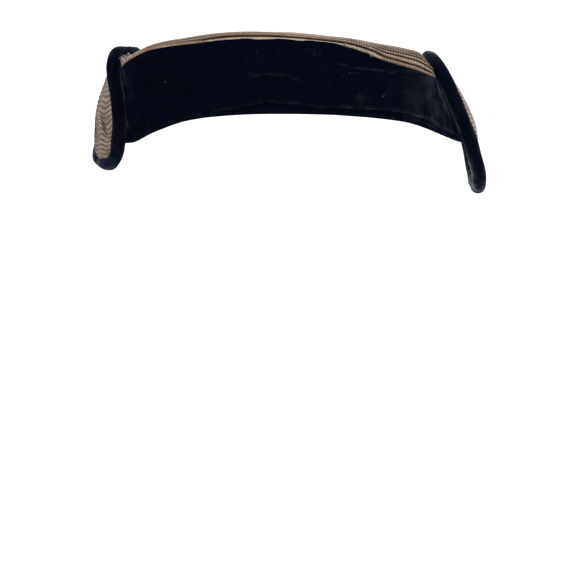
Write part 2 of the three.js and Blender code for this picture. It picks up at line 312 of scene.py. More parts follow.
def buckram():
    """Buckram: an open weave of cotton stiffened with size, dyed black. It is dull and shows a square grid
    of threads: the higher of a sine along x and one along y."""
    thread = 1.5  # a real thread and its gap take 0.9 mm, drawn coarser so that they show
    m = new_material("black buckram")
    place = add(m, "SeparateXYZ", {"Vector": add(m, "TexCoord").outputs["Object"]})
    ridges = []
    for axis in ("X", "Y"):
        steps = {0: place.outputs[axis], 1: 2 * math.pi / (thread * MM)}
        ridges.append(add(m, "Math", {0: add(m, "Math", steps, operation="MULTIPLY")}, operation="SINE"))
    weave = add(m, "Math", {0: ridges[0], 1: ridges[1]}, operation="MAXIMUM")
    relief = add(m, "Bump", {"Height": weave, "Distance": 0.12 * MM, "Strength": 0.5})
    tint = add(m, "ValToRGB", {"Fac": weave})
    tint.color_ramp.elements[0].color = linear("08080a")
    tint.color_ramp.elements[1].color = linear("131316")
    surface = add(m, "BsdfPrincipled", {
        "Base Color": tint, "Normal": relief, "Roughness": 0.85, "Specular IOR Level": 0.3,
    })
    add(m, "OutputMaterial", {"Surface": surface})
    return m


BAND_RADIUS = 88.0  # millimetres along the band for each radian round the hat
BAND_FACE = (20.0, 34.0)  # its marks start between these distances in front of the middle
# Soft waves, as height and length: two of the padding and one of the tone.
BROAD_WAVES = (0.22, 47)
NARROW_WAVES = (0.12, 17)
TONE_WAVES = (0.07, 60)
# Creases of the band, each along a line of x and height, with the ridge that stands out along it, the
# groove under it, its width, how far the velvet below it lies back, and how much highlight is painted on
# the ridge; a little shade is painted in every groove. All but the light are in millimetres, with heights
# counted from the seat.
BAND_CREASES = [
    {"x": [-80, -73, -47, -28, -8, 6, 19, 40, 66, 78, 91, 96],
     "z": [-55, -51, -40.1, -35.3, -30.1, -30.4, -32, -31.7, -32.8, -37.6, -44.8, -48],
     "ridge": 0.5, "groove": 0.8, "width": 0.9, "back": 0.9, "light": 0.75},
    {"x": [-16, -13, -10, -6, -1, 3.5, 8, 11],
     "z": [-19, -17.6, -16.4, -16.2, -16.6, -17.5, -18.9, -19.8],
     "ridge": 0.4, "groove": 0.45, "width": 0.55, "back": 0, "light": 2.8},
    {"x": [24, 33, 46, 56, 66, 77, 84],
     "z": [-9.8, -10.9, -12.5, -13.6, -12.2, -13.4, -17],
     "ridge": 0.5, "groove": -0.1, "width": 0.65, "back": -0.5, "light": 1.9},
    {"x": [14, 20, 27, 34],
     "z": [-22, -24, -24.6, -24],
     "ridge": 0.15, "groove": 0.2, "width": 1.4, "back": 0, "light": 0.2},
    {"x": [-60, -48, -30, -12],
     "z": [-14, -16.5, -17.5, -16],
     "ridge": 0.2, "groove": 0.1, "width": 1.8, "back": 0, "light": 0.1},
]
CREASE_STRAY = (0.35, 21)  # of a crease from its line, as waves
CREASE_BREAKS = (0.5, 13)  # of its light, as waves
GROOVE_BELOW = 1.5  # from the ridge down to the groove, in widths of the crease
# Two short curved creases that face each other, like a pair of brackets, with a painted highlight on
# their ridges. The last line is in half widths.
BAND_DIMPLE = {"x": 17.8, "z": -3.8, "half_width": 1.5, "half_height": 2.4, "ridge": 0.3, "light": 2.2,
               "apart": 1.1, "bend": 0.5, "thin": 0.3}
# Painted sheen on the band, where light catches the pile: places of this width and height, along a line
# that falls by this lean.
BAND_PAINTED_SHEEN = [
    {"x": 71.0, "z": -27.0, "wide": 15.0, "high": 14.0, "lean": 0.35, "light": 0.68},
    {"x": 42.0, "z": -27.6, "wide": 3.4, "high": 2.2, "lean": 0.2, "light": 1.5},
]
# A painted highlight along the seam of the left roll: a thin light line on the band from this place down
# to that one.
BAND_SEAM = {"top_x": -86.0, "top_z": -29.0, "bottom_x": -82.5, "bottom_z": -50.0, "wide": 0.5, "light": 1}


def band_relief(x, y, z):
    """How far the velvet stands out from the wall, and its tone: soft random waves, with painted highlight
    and painted shade. Soft waves of the padding; for each crease a bell-shaped ridge along its line, with a
    painted highlight, a bell-shaped groove under it, with painted shade, and a step back, all fading out at
    its ends; the dimple, two arcs with a painted highlight; the painted sheen, wide bells; and the seam, a
    narrow bell of painted highlight."""
    rng = np.random.default_rng(11)
    turn = np.arctan2(y, x) * BAND_RADIUS
    in_front = smooth(*BAND_FACE, -y)
    relief = waves(rng, turn + z * 0.4, *BROAD_WAVES) + waves(rng, turn * 0.6 - z, *NARROW_WAVES)
    tone = waves(rng, turn - z, *TONE_WAVES)
    for crease in BAND_CREASES:
        xs = crease["x"]
        line = np.interp(x, xs, crease["z"]) + waves(rng, x, *CREASE_STRAY)
        over = (z - line) / crease["width"]
        fade = smooth(xs[0], xs[1], x) * (1 - smooth(xs[-2], xs[-1], x)) * in_front
        ridge = np.exp(-over**2)
        groove = np.exp(-((over + GROOVE_BELOW) ** 2))
        shape = crease["ridge"] * ridge - crease["groove"] * groove
        shape -= crease["back"] * (1 - smooth(-2.4, 0.2, over))
        broken = 0.75 + waves(rng, x, *CREASE_BREAKS)
        relief += fade * shape
        # Painted highlight on the ridge, broken up, and painted shade in the groove.
        tone += fade * (crease["light"] * broken * ridge - 0.25 * groove)
    dimple = BAND_DIMPLE
    along_x = (x - dimple["x"]) / dimple["half_width"]
    along_z = (z - dimple["z"]) / dimple["half_height"]
    off_arc = (np.abs(along_x) - dimple["apart"] + dimple["bend"] * along_z**2) / dimple["thin"]
    arcs = np.exp(-(off_arc**2)) * (1 - smooth(0.7, 1.1, np.abs(along_z)))
    relief += dimple["ridge"] * arcs * in_front
    # Painted highlight on the dimple's arcs.
    tone += dimple["light"] * arcs * in_front
    # Painted sheen on the band.
    for sheen_spot in BAND_PAINTED_SHEEN:
        across = (x - sheen_spot["x"]) / sheen_spot["wide"]
        upward = (z - sheen_spot["z"] + sheen_spot["lean"] * (x - sheen_spot["x"])) / sheen_spot["high"]
        tone += sheen_spot["light"] * np.exp(-across**2 - upward**2) * in_front
    # Painted highlight along the roll's seam.
    seam = BAND_SEAM
    down = np.clip((z - seam["top_z"]) / (seam["bottom_z"] - seam["top_z"]), 0, 1)
    off_seam = (x - mix(seam["top_x"], seam["bottom_x"], down**2)) / seam["wide"]
    ends = smooth(0, 0.2, down) * (1 - smooth(0.9, 1, down))
    tone += seam["light"] * np.exp(-off_seam**2) * ends * in_front
    return relief, tone


CROWN_COLUMNS = 600
TOP_ROWS = 8
WALL_ROWS = 100
EDGE_ROWS = 8
INNER_ROWS = 14
ANGLES = np.arange(CROWN_COLUMNS) / CROWN_COLUMNS * 2 * np.pi
POLE_SHARE = 0.02  # size of the ring round a pole beside the edge
OUTER_START = 0.012  # of the wall, just under the lip
INNER_END = 0.16  # of the wall inside, just under the crown's top

LIP_WIDTH = 1.6
LIP_RISE = 1.6
LIP_UNDER_FOLD = 0.15  # share of its rise where the silk's first fold lies over it
LIP_PULL = (0.3, 23)  # share by which it is pulled higher and lower, as waves
# Where the lip comes out over the silk's edge: from the left and the right of the face, and to the back.
LIP_SHOWS = {"left": (-44, -34), "right": (46, 53), "back": (-24, -10)}

RIM_BULGE = 0.45  # how far the rim's fold stands down, in wall thicknesses
TURN_IN = 9.0  # width of the velvet turned in over the buckram at the rim
INNER_HEIGHT = 36.0


def crown_top(inset, drop, shares):
    """Rows of the crown's top: ovals that are shares of the whole one, at the silk's height less a drop and
    a sink that grows towards the edge."""
    x, y = oval(TOP, TOP_CORNER, ANGLES)
    keep = 1 - inset / np.hypot(x, y)
    xs = shares[:, None] * x * keep
    ys = shares[:, None] * y * keep
    sink = EDGE_SINK * shares[:, None] ** SINK_POWER
    return np.stack([xs, ys, silk_height(xs, ys) - drop - sink], axis=-1)


def turned_edge(first, last, rows, bulge):
    """Rows that carry one edge round to another: half a turn of a curve between them, standing out by a
    bulge along a given direction."""
    t = (np.arange(1, rows) / rows * np.pi)[:, None, None]
    return mix(first, last, (1 - np.cos(t)) / 2) + bulge * np.sin(t)


def lip_cover(x, y):
    """How far the velvet lip covers the edge of the silk: wholly at the back and along the middle of the
    face, and not at all at the face's two ends, where the silk's first fold lies over the lip."""
    middle = smooth(*LIP_SHOWS["left"], x) * (1 - smooth(*LIP_SHOWS["right"], x))
    return mix(middle, 1, smooth(*LIP_SHOWS["back"], y))


def crown_points():
    """The crown as one closed surface: its top, the lip, the wall, the rim, the wall's inside and the top's
    underside. Returns its rows, their tones and the row where the turned-in velvet ends."""
    drop = DRAPE_WALL + SEAT_GAP
    top = crown_top(LIP_WIDTH, drop, np.linspace(POLE_SHARE, 1, TOP_ROWS))
    down = np.linspace(OUTER_START, 1, WALL_ROWS)[:, None]
    around = np.broadcast_to(ANGLES, (WALL_ROWS, CROWN_COLUMNS))
    base = wall(around, down)
    relief, tone = band_relief(base[..., 0], base[..., 1], base[..., 2] + LIFT)
    fade = smooth(0.0, 0.1, down) * (1 - smooth(0.94, 1.0, down))
    outer = raised(wall, around, np.broadcast_to(down, around.shape), -relief * fade)
    shows = mix(LIP_UNDER_FOLD, 1, lip_cover(outer[0, :, 0], outer[0, :, 1]))
    pulled = 1 + waves(np.random.default_rng(12), ANGLES * BAND_RADIUS, *LIP_PULL)
    rise = np.array([0, 0, LIP_RISE]) * (shows * pulled)[None, :, None]
    lip = turned_edge(top[-1], outer[0], EDGE_ROWS, rise)
    inner_down = np.linspace(1, INNER_END, INNER_ROWS)[:, None]
    inner = wall(around[:INNER_ROWS], inner_down, CROWN_WALL)
    rim = turned_edge(outer[-1], inner[0], EDGE_ROWS, np.array([0, 0, -CROWN_WALL * RIM_BULGE]))
    under = crown_top(LIP_WIDTH + CROWN_WALL, drop + CROWN_WALL, np.linspace(1, POLE_SHARE, TOP_ROWS))
    rows = np.concatenate([top, lip, outer, rim, inner, under])
    tones = np.zeros(rows.shape[:2])
    first = TOP_ROWS + EDGE_ROWS - 1
    tones[first : first + WALL_ROWS] = tone
    velvet_rows = first + WALL_ROWS + EDGE_ROWS - 1 + round(INNER_ROWS * TURN_IN / INNER_HEIGHT)
    return rows, tones, velvet_rows


def close_poles(rows, faces):
    """Points and faces of a ring grid, closed at both ends by a fan of faces round their middle."""
    count, columns = rows.shape[:2]
    points = np.concatenate([rows.reshape(-1, 3), [rows[0].mean(0)], [rows[-1].mean(0)]])
    j = np.arange(0, columns, 2)
    base = (count - 1) * columns
    corners = [j, (j + 1) % columns, (j + 2) % columns]
    first = np.stack([np.full(len(j), len(points) - 2)] + corners, -1)
    last = np.stack([np.full(len(j), len(points) - 1)] + [c + base for c in corners[::-1]], -1)
    return points, np.concatenate([faces, first[:, ::-1], last[:, ::-1]])


crown_rows, crown_tones, turned_in_row = crown_points()
crown_rows = crown_rows + np.array([0, 0, LIFT])
crown_faces = quads(*crown_rows.shape[:2], ring=True)
inside = (crown_faces.min(1) // CROWN_COLUMNS) >= turned_in_row
crown_corners, crown_faces = close_poles(crown_rows, crown_faces)
fan = CROWN_COLUMNS // 2
inside = np.concatenate([inside, np.zeros(fan, bool), np.ones(fan, bool)])
crown = make_piece(
    "crown_velvet", crown_corners, crown_faces, [velvet, buckram()],
    tone=np.concatenate([crown_tones.ravel(), [0, 0]]), face_material=inside,
)
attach(crown, "root")
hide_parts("crown")


# Silk on the crown
# One length of taupe ribbed silk, folded into flat tucks that overlap like shingles, with their folds
# towards the face. Each tuck is tacked to the crown at its ends, under the lip and the rolls, and lies
# loose between them.

SILK_EDGE = 1.95  # from the crown's top edge to the edge of the silk
# Where the silk ends at each side, from the front to the back.
SILK_ENDS = {
    "y": [-52, -42, -32, -22, -8, 20, 34, 48],
    "left": [-86.6, -86.2, -84.4, -80.6, -80.4, -80.3, -81.3, -82],
    "right": [80.4, 81.2, 79.2, 75.8, 74.9, 74.4, 75.2, 76],
}
SILK_WIDTH = 165.0
FOLD_PITCH = 6.6
FOLD_HEIGHT = 1.9
FOLD_SINK = 2.1  # of a tuck's foot below the surface that the crests follow
FOLD_UNDERCUT = 1.9
FOLD_DARK = 0.66  # share of the nose's height that the tuck before it shades
FOLD_STRAY = (0.4, 90)  # of a tuck from its line, as waves
FOLD_SWELL = (0.16, 70)  # share by which it is higher and lower, as waves
FOLD_SWELL_LEAN = 60.0  # shift of those waves from front to back
FOLD_END = 0.35  # height of a tuck's flat ends beside its middle
# How far the tucks bow backwards at places across the hat, as a share of the most they do.
FOLD_BOW = {
    "x": [-86, -50, -18, -2, 20, 32, 42, 52, 64, 80],
    "bow": [0, -0.15, 0.15, 0.6, 1, 0.85, 0.4, 0.14, 0.12, 0.05],
}
FOLD_BOW_MOST = 15.0
FOLD_BOW_START = 0.09  # share of the way back where half of the bow is reached
OVERHANG = 0.7  # of the first fold over the lip at both ends of the face
OVERHANG_RISE = 2.5
OVERHANG_FADE = 0.022  # share of the way back over which that rise dies away
FIRST_FOLD = 0.5  # its height beside that of the others
FIRST_FOLD_SHADE = 0.3  # and its painted shade, because it hangs free
KNEE = {"x": 77.5, "wide": 3.2, "rise": 2.6}  # the silk is heaped up where it goes in under the right roll
SILK_SHADE = {"from_x": 25, "to_x": 60, "tone": 0.26}  # painted shade that deepens towards the right
DRAPE_COLUMNS = 200
NOSE_ROWS = 7
SLOPE_ROWS = 5


def tuck_profile(pitch, height, undercut, dark):
    """One tuck from front to back, as places along and heights: in under the fold, round its nose as half a
    circle, and down the long back that the next tuck covers. Also its tone, which is painted shade, 0 on a
    crest and 1 in a gap: shaded up to a share of the nose's height, unshaded on the crest, and shaded again
    under the next tuck."""
    radius = 0.42 * height
    foot = height - 2 * radius
    turn = np.linspace(-np.pi / 2, np.pi / 2, NOSE_ROWS)
    nose_at = radius * (1 - np.cos(turn))
    nose_height = foot + radius * (1 + np.sin(turn))
    back = np.arange(1, SLOPE_ROWS + 1) / (SLOPE_ROWS + 1)
    back_at = mix(radius, pitch + undercut, back)
    back_height = height * (1 - back**1.25)
    at = np.concatenate([[undercut, undercut * 0.55], nose_at, back_at])
    rise = np.concatenate([[0.02 * height, 0.6 * foot], nose_height, back_height])
    nose_painted_shade = 1 - smooth(dark, 1.0, (1 + np.sin(turn)) / 2)
    tone = np.concatenate([[1.0, 1.0], nose_painted_shade, smooth(0.5, 0.85, back)])
    return at, rise, tone


def ribbed_silk():
    """Faille: silk woven over thick cotton picks, so it has fine round ribs, a sine of the place along the
    cloth, painted darker in their hollows and lighter on their tops. It has a low, soft gloss, and taupe
    and brown threads that mix in streaks and blotches. In the gaps between tucks, where its tone is 1,
    shade is painted in dark brown."""
    rib = 1.4  # the real ribs are 0.65 mm apart, drawn coarser so that they show
    streak = 1.1
    streak_length = 9
    blotch = 13
    m = new_material("taupe ribbed silk")
    cloth = add(m, "UVMap", uv_map="cloth")
    axes = add(m, "SeparateXYZ", {"Vector": cloth})
    drift = add(m, "TexNoise", {"Vector": cloth, "Scale": 0.35, "Detail": 2.0})
    place = add(m, "Math", {0: drift, 1: 2.2, 2: axes}, operation="MULTIPLY_ADD")
    turns = add(m, "Math", {0: place, 1: 2 * math.pi / rib}, operation="MULTIPLY")
    ribs = add(m, "Math", {0: turns}, operation="SINE")
    longwise = add(m, "Mapping", {"Vector": cloth, "Scale": (1 / streak_length, 1 / streak, 1.0)})
    streaks = add(m, "TexNoise", {"Vector": longwise, "Scale": 1.0, "Detail": 4.0})
    blotches = add(m, "TexNoise", {"Vector": cloth, "Scale": 1 / blotch, "Detail": 3.0})
    worn = add(m, "Math", {0: streaks, 1: blotches}, operation="MULTIPLY")
    light = add(m, "ValToRGB", {"Fac": worn})
    stops = light.color_ramp.elements
    stops[0].position = 0.12
    stops[0].color = linear("6e553f")
    stops[1].position = 0.4
    stops[1].color = linear("ac947e")
    # Painted shade in the hollows of the ribs and painted highlight on their tops.
    painted_rib_light_and_shade = add(m, "MapRange", {
        "Value": ribs, "From Min": -1.0, "From Max": 0.5, "To Min": 0.4, "To Max": 1.18,
    })
    ribbed = add(m, "VectorMath", {0: light, "Scale": painted_rib_light_and_shade}, operation="SCALE")
    # The tone is painted shade: where it is 1, the colour is all dark brown.
    tone = add(m, "Attribute", attribute_name="tone").outputs["Fac"]
    folded = add(m, "MixRGB", {"Fac": tone, "Color1": ribbed, "Color2": linear("2c1b10")})
    relief = add(m, "Math", {0: streaks, 1: 0.6, 2: ribs}, operation="MULTIPLY_ADD")
    bump = add(m, "Bump", {"Height": relief, "Distance": 0.2 * MM, "Strength": 0.8})
    surface = add(m, "BsdfPrincipled", {
        "Base Color": folded, "Normal": bump, "Roughness": 0.5, "Specular IOR Level": 0.35,
        "Sheen Weight": 0.12, "Sheen Roughness": 0.4, "Sheen Tint": linear("d9cdbf"),
    })
    add(m, "OutputMaterial", {"Surface": surface})
    return m


silk = ribbed_silk()


def slab(top, bottom):
    """Points and faces of a closed body: two grids of the same size, and a strip round their edges."""
    rows, columns = top.shape[:2]
    number = np.arange(rows * columns).reshape(rows, columns)
    edge = np.concatenate([number[0, :-1], number[:-1, -1], number[-1, :0:-1], number[:0:-1, 0]])
    after = np.roll(edge, -1)
    side = np.stack([after, edge, edge + number.size, after + number.size], -1)
    upper = quads(rows, columns, ring=False)
    points = np.concatenate([top.reshape(-1, 3), bottom.reshape(-1, 3)])
    return points, np.concatenate([upper, upper[:, ::-1] + number.size, side])


def silk_sheet(name, top, bottom, along_row, silk_at, tones):
    """A slab of silk whose cloth coordinates are the length along a row and the place across the silk."""
    points, faces = slab(top, bottom)
    uv = np.stack([along_row, np.broadcast_to(silk_at[:, None], along_row.shape)], -1).reshape(-1, 2)
    return make_piece(name, points, faces, [silk], np.tile(uv, (2, 1)), np.tile(tones.ravel(), 2))


def drape_base(across, share):
    """The smooth sheet under the tucks, from left to right and from the face edge to the back. Its rows bow
    backwards by a share over itself plus 0.09, times what is left to the back. It rises over the lip at the
    face's ends, and in a bell-shaped knee at the right."""
    level = mix(-TOP["front"], TOP["back"], share)
    x = mix(along(SILK_ENDS, "y", "left", level), along(SILK_ENDS, "y", "right", level), across)
    over = 1 - lip_cover(x, np.full_like(x, -TOP["front"]))
    front = -edge_reach(x, False, mix(SILK_EDGE, -OVERHANG, over))
    back = edge_reach(x, True, SILK_EDGE)
    inner = np.clip(share, 0, 1)
    most = along(FOLD_BOW, "x", "bow", x) * FOLD_BOW_MOST
    y = mix(front, back, share) + most * inner / (inner + FOLD_BOW_START) * (1 - inner)
    z = silk_height(x, y) - FOLD_SINK + over * OVERHANG_RISE * np.exp(-inner / OVERHANG_FADE)
    heap = np.exp(-(((x - KNEE["x"]) / KNEE["wide"]) ** 2)) * smooth(20, 30, -y) * smooth(0, 0.12, inner)
    z += KNEE["rise"] * heap
    return np.stack([x, y, z + LIFT], axis=-1)


def tuck_rows(rng, at_columns, count, pitch, height, undercut, dark, stray):
    """Rows of a tucked sheet: how many tucks along each point lies, its height and tone, and its place
    across the silk. Each tuck starts on a slow random line of its own, and its back runs on to the next."""
    lines = np.stack([waves(rng, at_columns, *stray) for _ in range(count + 1)])
    lines[[0, -1]] = 0
    at, rise, tone = tuck_profile(pitch, height, undercut, dark)
    across_silk = np.concatenate([[0], np.cumsum(np.hypot(np.diff(at), np.diff(rise)))])
    towards = np.clip(at / pitch, 0, 1) * (np.arange(len(at)) > np.argmax(rise))
    tuck = np.repeat(np.arange(count), len(at))
    towards = np.tile(towards, count)[:, None]
    line = mix(lines[tuck], lines[tuck + 1], towards)
    places = tuck[:, None] + np.tile(at / pitch, count)[:, None] + line / pitch
    silk_at = tuck * (across_silk[-1] + 1) + np.tile(across_silk, count)
    return places, np.tile(rise, count)[:, None], np.tile(tone, count), silk_at


def crown_silk():
    """The tucked sheet: the rows of the tucks raised from the smooth sheet along its normal, higher and
    lower by a slow random curve and flatter at both ends, over a plain underside."""
    rng = np.random.default_rng(5)
    count = round((TOP["front"] + TOP["back"]) / FOLD_PITCH)
    even = np.linspace(0, 1, DRAPE_COLUMNS)
    across = mix(even, (1 - np.cos(np.linspace(0, np.pi, DRAPE_COLUMNS))) / 2, 0.5)
    places, rise, tone, silk_at = tuck_rows(
        rng, across * SILK_WIDTH, count, FOLD_PITCH, FOLD_HEIGHT, FOLD_UNDERCUT, FOLD_DARK, FOLD_STRAY
    )
    share = np.clip(places / count, 0, 1)
    across = np.broadcast_to(across, share.shape)
    swell = 1 + waves(rng, across * SILK_WIDTH + share * FOLD_SWELL_LEAN, *FOLD_SWELL)
    swell = swell * np.where(np.arange(len(share))[:, None] < len(share) // count, FIRST_FOLD, 1)
    ends = smooth(0, 0.03, across) * (1 - smooth(0.975, 1, across))
    top = raised(drape_base, across, share, rise * swell * mix(FOLD_END, 1, ends))
    flat_share = np.broadcast_to(np.linspace(0.012, 0.99, len(share))[:, None], share.shape)
    bottom = drape_base(across, flat_share) - np.array([0, 0, DRAPE_WALL - FOLD_SINK])
    # The first fold gets less painted shade, because it hangs free.
    tone[: len(tone) // count] *= FIRST_FOLD_SHADE
    tone = tone[:, None]
    # More painted shade towards the right.
    rightward = smooth(SILK_SHADE["from_x"], SILK_SHADE["to_x"], top[..., 0])
    tones = tone + SILK_SHADE["tone"] * (1 - tone) * rightward
    made = silk_sheet("crown_silk", top, bottom, top[..., 0], silk_at, tones)
    return made, count * (FOLD_PITCH + 2 * FOLD_UNDERCUT)


drape, drape_length = crown_silk()
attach(drape, "root")
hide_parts("crown_drape")


# Loose threads
# The silk's cut edge is frayed in two places of the first tuck: at the right of the face, where its threads
# hang over the lip, and at its left end, where they stand off against the roll.

THREAD_RADIUS = 0.13  # a real thread is half as thick, drawn coarser so that it shows
THREAD_TIP = 0.35  # radius of its far end beside its start
THREAD_STEPS = 8
THREAD_LENGTHS = (0.7, 1.15)  # of the shortest and the longest beside the corners below
THREAD_STRAY = 0.35
THREAD_STRAY_AT = [0.4, 0.7, 1.0]  # shares of it at the three corners
# Where the threads start, how many there are, and their curve's three further corners as steps from there.
FRAYED = [
    {"from_x": 30.0, "to_x": 46.0, "share": 0.03, "count": 110,
     "corners": [(0.5, -2.5, 0.6), (1.5, -5.6, 1.9), (3.4, -6.3, -1.1)]},
    {"from_x": -86.0, "to_x": -79.0, "share": 0.004, "count": 21,
     "corners": [(-0.3, -0.3, 0.6), (-0.9, -0.5, 1.3), (-2.1, -0.4, 1.7)]},
]


def loose_silk():
    """Untwisted silk threads: paler than the woven silk, with a soft gloss."""
    m = new_material("loose silk thread")
    surface = add(m, "BsdfPrincipled", {
        "Base Color": linear("a89b8b"), "Roughness": 0.5, "Specular IOR Level": 0.35, "Sheen Weight": 0.2,
    })
    add(m, "OutputMaterial", {"Surface": surface})
    return m


def frayed_threads():
    """Thin four-sided tubes, each along a cubic curve of four corners: its start on the first tuck, and
    three steps from it, each longer or shorter by a random share and a little astray."""
    rng = np.random.default_rng(51)
    t = np.linspace(0, 1, THREAD_STEPS)[None, :, None]
    lines = []
    for fray in FRAYED:
        x = np.sort(rng.uniform(fray["from_x"], fray["to_x"], fray["count"]))
        across = (x - SILK_ENDS["left"][0]) / (SILK_ENDS["right"][0] - SILK_ENDS["left"][0])
        start = drape_base(across, np.full_like(across, fray["share"]))[:, None, :]
        steps = np.array(fray["corners"], float)[None] * rng.uniform(*THREAD_LENGTHS, (len(x), 1, 3))
        astray = rng.normal(0, THREAD_STRAY, (len(x), 3, 3))
        steps = steps + astray * np.array(THREAD_STRAY_AT)[None, :, None]
        one, two, three = (start + steps[:, k : k + 1] for k in range(3))
        lines.append(
            (1 - t) ** 3 * start + 3 * (1 - t) ** 2 * t * one + 3 * (1 - t) * t**2 * two + t**3 * three
        )
    line = np.concatenate(lines)
    onward = unit(np.gradient(line, axis=1))
    aside = unit(np.cross(onward, [0.6, 0.0, 0.8]))
    third = np.cross(onward, aside)
    turn = np.arange(4) * np.pi / 2  # four sides
    radius = THREAD_RADIUS * mix(1, THREAD_TIP, t)[..., None]
    rings = line[:, :, None] + radius * (
        aside[:, :, None] * np.cos(turn)[:, None] + third[:, :, None] * np.sin(turn)[:, None]
    )
    last = (THREAD_STEPS - 1) * 4
    ends = [[3, 2, 1, 0], [last, last + 1, last + 2, last + 3]]
    faces = np.concatenate([quads(THREAD_STEPS, 4, ring=True), ends])
    faces = faces[None] + (np.arange(len(line)) * THREAD_STEPS * 4)[:, None, None]
    return make_piece("loose_threads", rings.reshape(-1, 3), faces.reshape(-1, 4), [loose_silk()])


threads = frayed_threads()
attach(threads, "root")


# Wings
# Each wing is a stiff oval panel that hangs beside the ear. A cover of silk in narrow tucks lies on its
# outside and a facing of velvet on its inside. Both are sewn into the padded roll that goes all round it.

ROLL_RADIUS = 3.8
HALF_PANEL = 0.3
COVER_WALL = 1.4
FACING_WALL = 1.2
SEWN_IN = 2.3  # from the roll's centre line to the sewn edges of the panel
HALF_HEIGHT = 31  # of a panel
HALF_WIDTH = 32

# Sections of each wing from its lowest row to its highest: its front edge, its middle and its back edge.
LEFT_WING = {
    "q": [-1, -0.75, -0.4, 0, 0.4, 0.7, 0.88, 1],
    "front_y": [-20, -31, -37, -38.5, -38, -36, -32, -22],
    "back_y": [6, 21, 33, 36, 35, 31, 25, 15],
    "front_x": [-94.2, -89.4, -87.6, -88.2, -90.2, -91.6, -90.4, -86.3],
    "middle_x": [-101, -102.8, -103.4, -102.6, -98.2, -94.2, -91, -86.3],
    "back_x": [-104.4, -106.6, -104.5, -100, -95, -91.5, -90.2, -86.3],
    "front_z": [-69.7, -64, -52, -38, -25, -16.4, -10.8, -10],
    "middle_z": [-70.8, -65, -52.5, -38.5, -25.5, -17, -11.5, -10.4],
    "back_z": [-68.8, -64.4, -52.5, -38.5, -25.5, -17.6, -12.4, -10.8],
}
RIGHT_WING = {
    "q": [-1, -0.75, -0.4, 0, 0.4, 0.7, 0.88, 1],
    "front_y": [-18, -30, -37, -38.5, -38, -35.5, -30, -20],
    "back_y": [8, 22, 33, 36, 35, 31, 26, 16],
    "front_x": [106.8, 106.3, 102.2, 96.8, 90.6, 84.4, 80.4, 77.6],
    "middle_x": [106.6, 106.4, 104.2, 100.9, 95, 87.6, 81.8, 77.8],
    "back_x": [106.2, 105.4, 103, 99.5, 93.4, 87, 81.5, 78],
    "front_z": [-74.6, -68, -55, -41, -27, -15.4, -9.4, -7],
    "middle_z": [-75.6, -69, -56, -42, -27.5, -16, -10, -7.5],
    "back_z": [-74.4, -68.4, -56, -42, -27.5, -17, -11.5, -8],
}
# Each wing's side and seed, its padding and its belly, the height, slant, ripple and painted-shade share of
# its tucks, and the light painted low on the side of its roll that faces the head, darkening where it is
# below 0.
WINGS = {
    "left": {"table": LEFT_WING, "side": -1, "seed": 1, "pad": 1.6, "belly": 0.0,
             "tuck": 0.95, "slant": 7.0, "ripple": 1.8, "dark": 0.85, "low_painted_light": -0.15},
    "right": {"table": RIGHT_WING, "side": 1, "seed": 2, "pad": 0.6, "belly": 2.5,
              "tuck": 0.15, "slant": 3.0, "ripple": 0.5, "dark": 0.5, "low_painted_light": 0.5},
}
BELLY = {"q": -0.02, "high": 0.36}
TUCK_PITCH = 2.1
TUCK_UNDERCUT = 0.55
TUCK_STRAY = (0.26, 26)  # of a tuck from its line, as waves
TUCK_SWELL = (0.2, 18)  # share by which it is higher and lower, as waves
TUCK_SWELL_LEAN = 20  # shift of those waves from the middle to the top
RIPPLE_LENGTH = 0.62  # in half widths of the panel
WING_COLUMNS = 108
COVER_STRETCH = 1.35  # silk along a row for each millimetre from front to back


def wing_base(wing, out, pad):
    """The panel's surface at a distance out from its middle, and further out where it is padded: most in
    the middle, by what a fourth power leaves of 1 up the panel and a square along it, and by a belly."""
    table = wing["table"]

    def surface(a, q):
        """A place along a row and up the panel: a row is a parabola through its front, middle and back."""
        inner_q = q * (1 - SEWN_IN / HALF_HEIGHT)
        front_y, back_y = (along(table, "q", key, inner_q) for key in ("front_y", "back_y"))
        inner_a = a * (1 - SEWN_IN * 2 / (back_y - front_y))
        place = {}
        for key in ("_x", "_z"):
            front, middle, back = (
                along(table, "q", part + key, inner_q) for part in ("front", "middle", "back")
            )
            bend = (back + front) / 2 - middle
            place[key] = middle + (back - front) / 2 * inner_a + bend * inner_a**2
        belly = wing["belly"] * pad * np.exp(-(((q - BELLY["q"]) / BELLY["high"]) ** 2))
        away = out + (pad * (1 - q**4) + belly) * (1 - a**2)
        y = mix(front_y, back_y, (inner_a + 1) / 2)
        return np.stack([place["_x"] + wing["side"] * away, y, place["_z"] + LIFT], axis=-1)

    return surface


def tuck_lines(wing, a, q):
    """How far a row of the cover is shifted at a place along it: up towards the face on the upper part, and
    in crests that wave on the lower part, fading to nothing at the top and bottom edges."""
    lower = 1 - smooth(-0.25, 0.25, q)
    slant = -a * wing["slant"] * (1 - 0.6 * lower)
    crest = a + 1.02 + 0.07 * np.sin(9 * q)
    ripple = wing["ripple"] * (1 + 0.35 * np.sin(11 * q)) * np.cos(crest * 2 * np.pi / RIPPLE_LENGTH)
    return (slant + ripple * lower) * (1 - q**2) / HALF_HEIGHT


